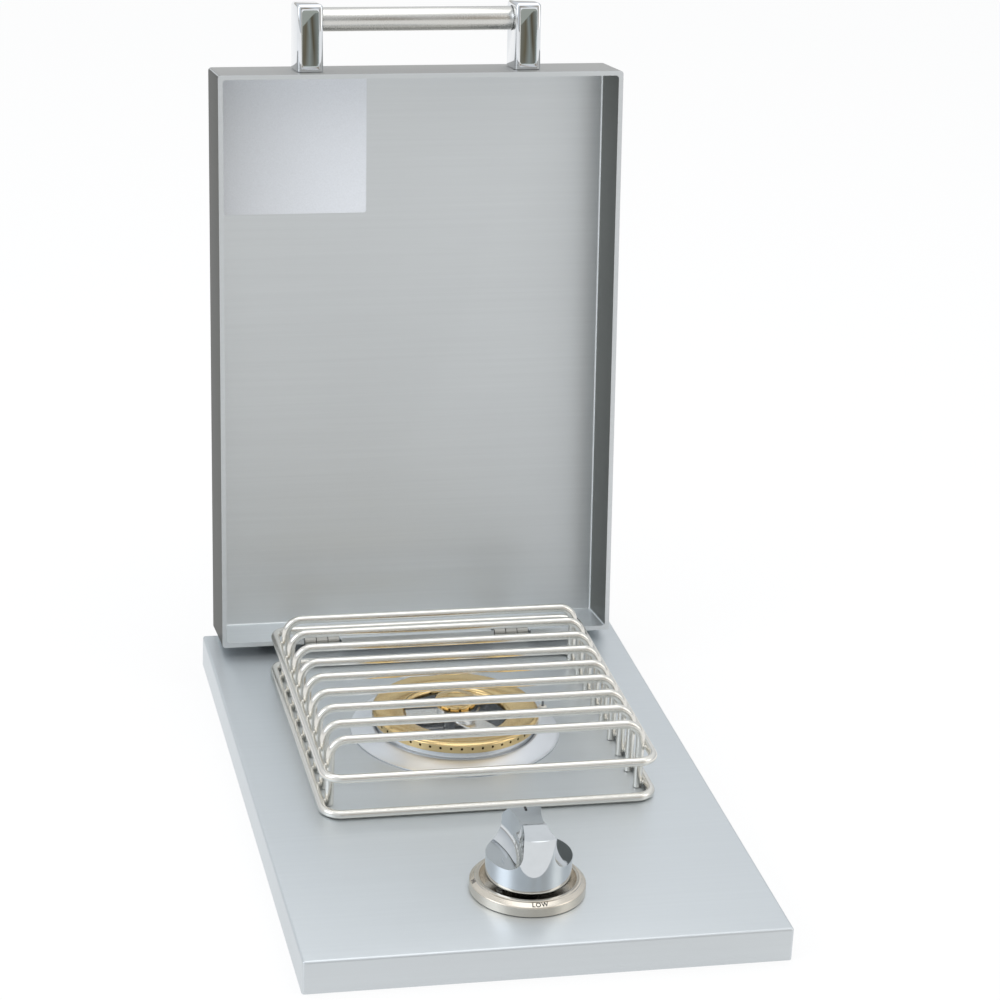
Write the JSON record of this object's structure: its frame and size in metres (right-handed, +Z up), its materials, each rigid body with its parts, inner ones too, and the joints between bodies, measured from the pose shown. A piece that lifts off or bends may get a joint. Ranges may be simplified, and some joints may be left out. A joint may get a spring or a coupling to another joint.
{
  "type": "built in side burner",
  "caption": "Drop-in gas side burner: folded steel deck with a deep hinged lid, a lift-off rod grate over a brass ring burner, and a push-and-turn valve knob.",
  "frame": {"origin": "under the middle of the deck, on the underside of the housing floor", "axes": "+X to the right, +Y to the back where the lid is hinged, +Z up; the lid stands open at rest"},
  "size_m": [0.33, 0.5827, 0.5893],
  "materials": {
    "deck_steel": "satin, fine brushed",
    "lid_steel": "satin, fine brushed",
    "galvanised_steel": "matt, zinc coated",
    "polished_steel": "bright",
    "rod_steel": "satin",
    "leaf_steel": "satin",
    "cast_aluminium": "as cast",
    "brass": "satin, machined",
    "chrome": "mirror",
    "satin_nickel": "satin",
    "satin_tube": "satin",
    "spring_steel": "bright",
    "ceramic": "matt",
    "black_plastic": "moulded",
    "rubber": "matt",
    "lead_silicone": "matt",
    "label_foil": "satin film, blank"
  },
  "bodies": {
    "base": {"deck_panel": "deck_steel", "housing_shell": "galvanised_steel", "housing_floor": "galvanised_steel", "burner_bowl": "polished_steel", "burner_body": "cast_aluminium", "burner_support": "galvanised_steel", "burner_screw_1": "galvanised_steel", "burner_screw_2": "galvanised_steel", "burner_screw_3": "galvanised_steel", "electrode_insulator": "ceramic", "electrode_pin": "spring_steel", "electrode_clip": "spring_steel", "piezo_igniter": "black_plastic", "ignition_lead": "lead_silicone", "gas_valve": "brass", "valve_cap": "brass", "valve_screw_left": "spring_steel", "valve_screw_right": "spring_steel", "return_spring": "spring_steel", "gas_jet": "brass", "mixing_tube": "galvanised_steel", "gas_pipe": "polished_steel", "pipe_nut_valve": "brass", "pipe_nut_inlet": "brass", "inlet_fitting": "brass", "inlet_locknut": "brass", "bezel": "satin_nickel", "hinge_fixed_leaf_left": "leaf_steel", "hinge_fixed_leaf_right": "leaf_steel", "hinge_pin_left": "spring_steel", "hinge_pin_right": "spring_steel", "stop_pad_left": "rubber", "stop_pad_right": "rubber"},
    "lid": {"lid_pan": "lid_steel", "lid_label": "label_foil", "hinge_moving_leaf_left": "leaf_steel", "hinge_moving_leaf_right": "leaf_steel", "handle_post_left": "chrome", "handle_post_right": "chrome", "handle_tube": "satin_tube"},
    "push_washer": {"thrust_washer": "spring_steel"},
    "knob": {"knob_body": "chrome", "knob_core": "black_plastic", "valve_stem": "spring_steel"},
    "plug": {"valve_plug": "brass"},
    "grate": {"grate_ring_lower": "rod_steel", "grate_ring_upper": "rod_steel", "grate_bar_1": "rod_steel", "grate_bar_2": "rod_steel", "grate_bar_3": "rod_steel", "grate_bar_4": "rod_steel", "grate_bar_5": "rod_steel", "grate_bar_6": "rod_steel", "grate_bar_7": "rod_steel", "grate_bar_8": "rod_steel", "grate_bar_9": "rod_steel"},
    "ring": {"burner_ring": "brass"},
    "cap": {"burner_cap": "brass"},
    "shutter": {"air_shutter": "galvanised_steel", "air_shutter_screw": "spring_steel"}
  },
  "joints": [
    {"name": "lid_hinge", "type": "hinge", "parent": "base", "child": "lid", "pos_m": [0, 0.217, 0.10241], "axis": [-1, 0, 0], "range_deg": [-97.87, 0]},
    {"name": "knob_push", "type": "slide", "parent": "base", "child": "push_washer", "axis": [0, 0, -1], "range_m": [0, 0.003], "stiffness_N_per_m": 2000, "springref_m": -0.006, "deforming": ["return_spring"]},
    {"name": "knob_turn", "type": "hinge", "parent": "push_washer", "child": "knob", "pos_m": [0, -0.1785, 0.1], "axis": [0, 0, 1], "range_deg": [0, 180]},
    {"name": "plug_turn", "type": "hinge", "parent": "base", "child": "plug", "pos_m": [0, -0.1785, 0.065], "axis": [0, 0, 1], "range_deg": [0, 180]},
    {"name": "grate_lift", "type": "slide", "parent": "base", "child": "grate", "axis": [0, 0, 1], "range_m": [0, 0.06]},
    {"name": "burner_ring_lift", "type": "slide", "parent": "base", "child": "ring", "axis": [0, 0, 1], "range_m": [0, 0.015]},
    {"name": "burner_cap_lift", "type": "slide", "parent": "base", "child": "cap", "axis": [0, 0, 1], "range_m": [0, 0.015]},
    {"name": "air_shutter_turn", "type": "hinge", "parent": "base", "child": "shutter", "pos_m": [0, -0.14, 0.062], "axis": [0, -1, 0], "range_deg": [0, 60]}
  ],
  "couplings": [
    {"joint": "plug_turn", "follows": "knob_turn", "ratio": 1}
  ]
}
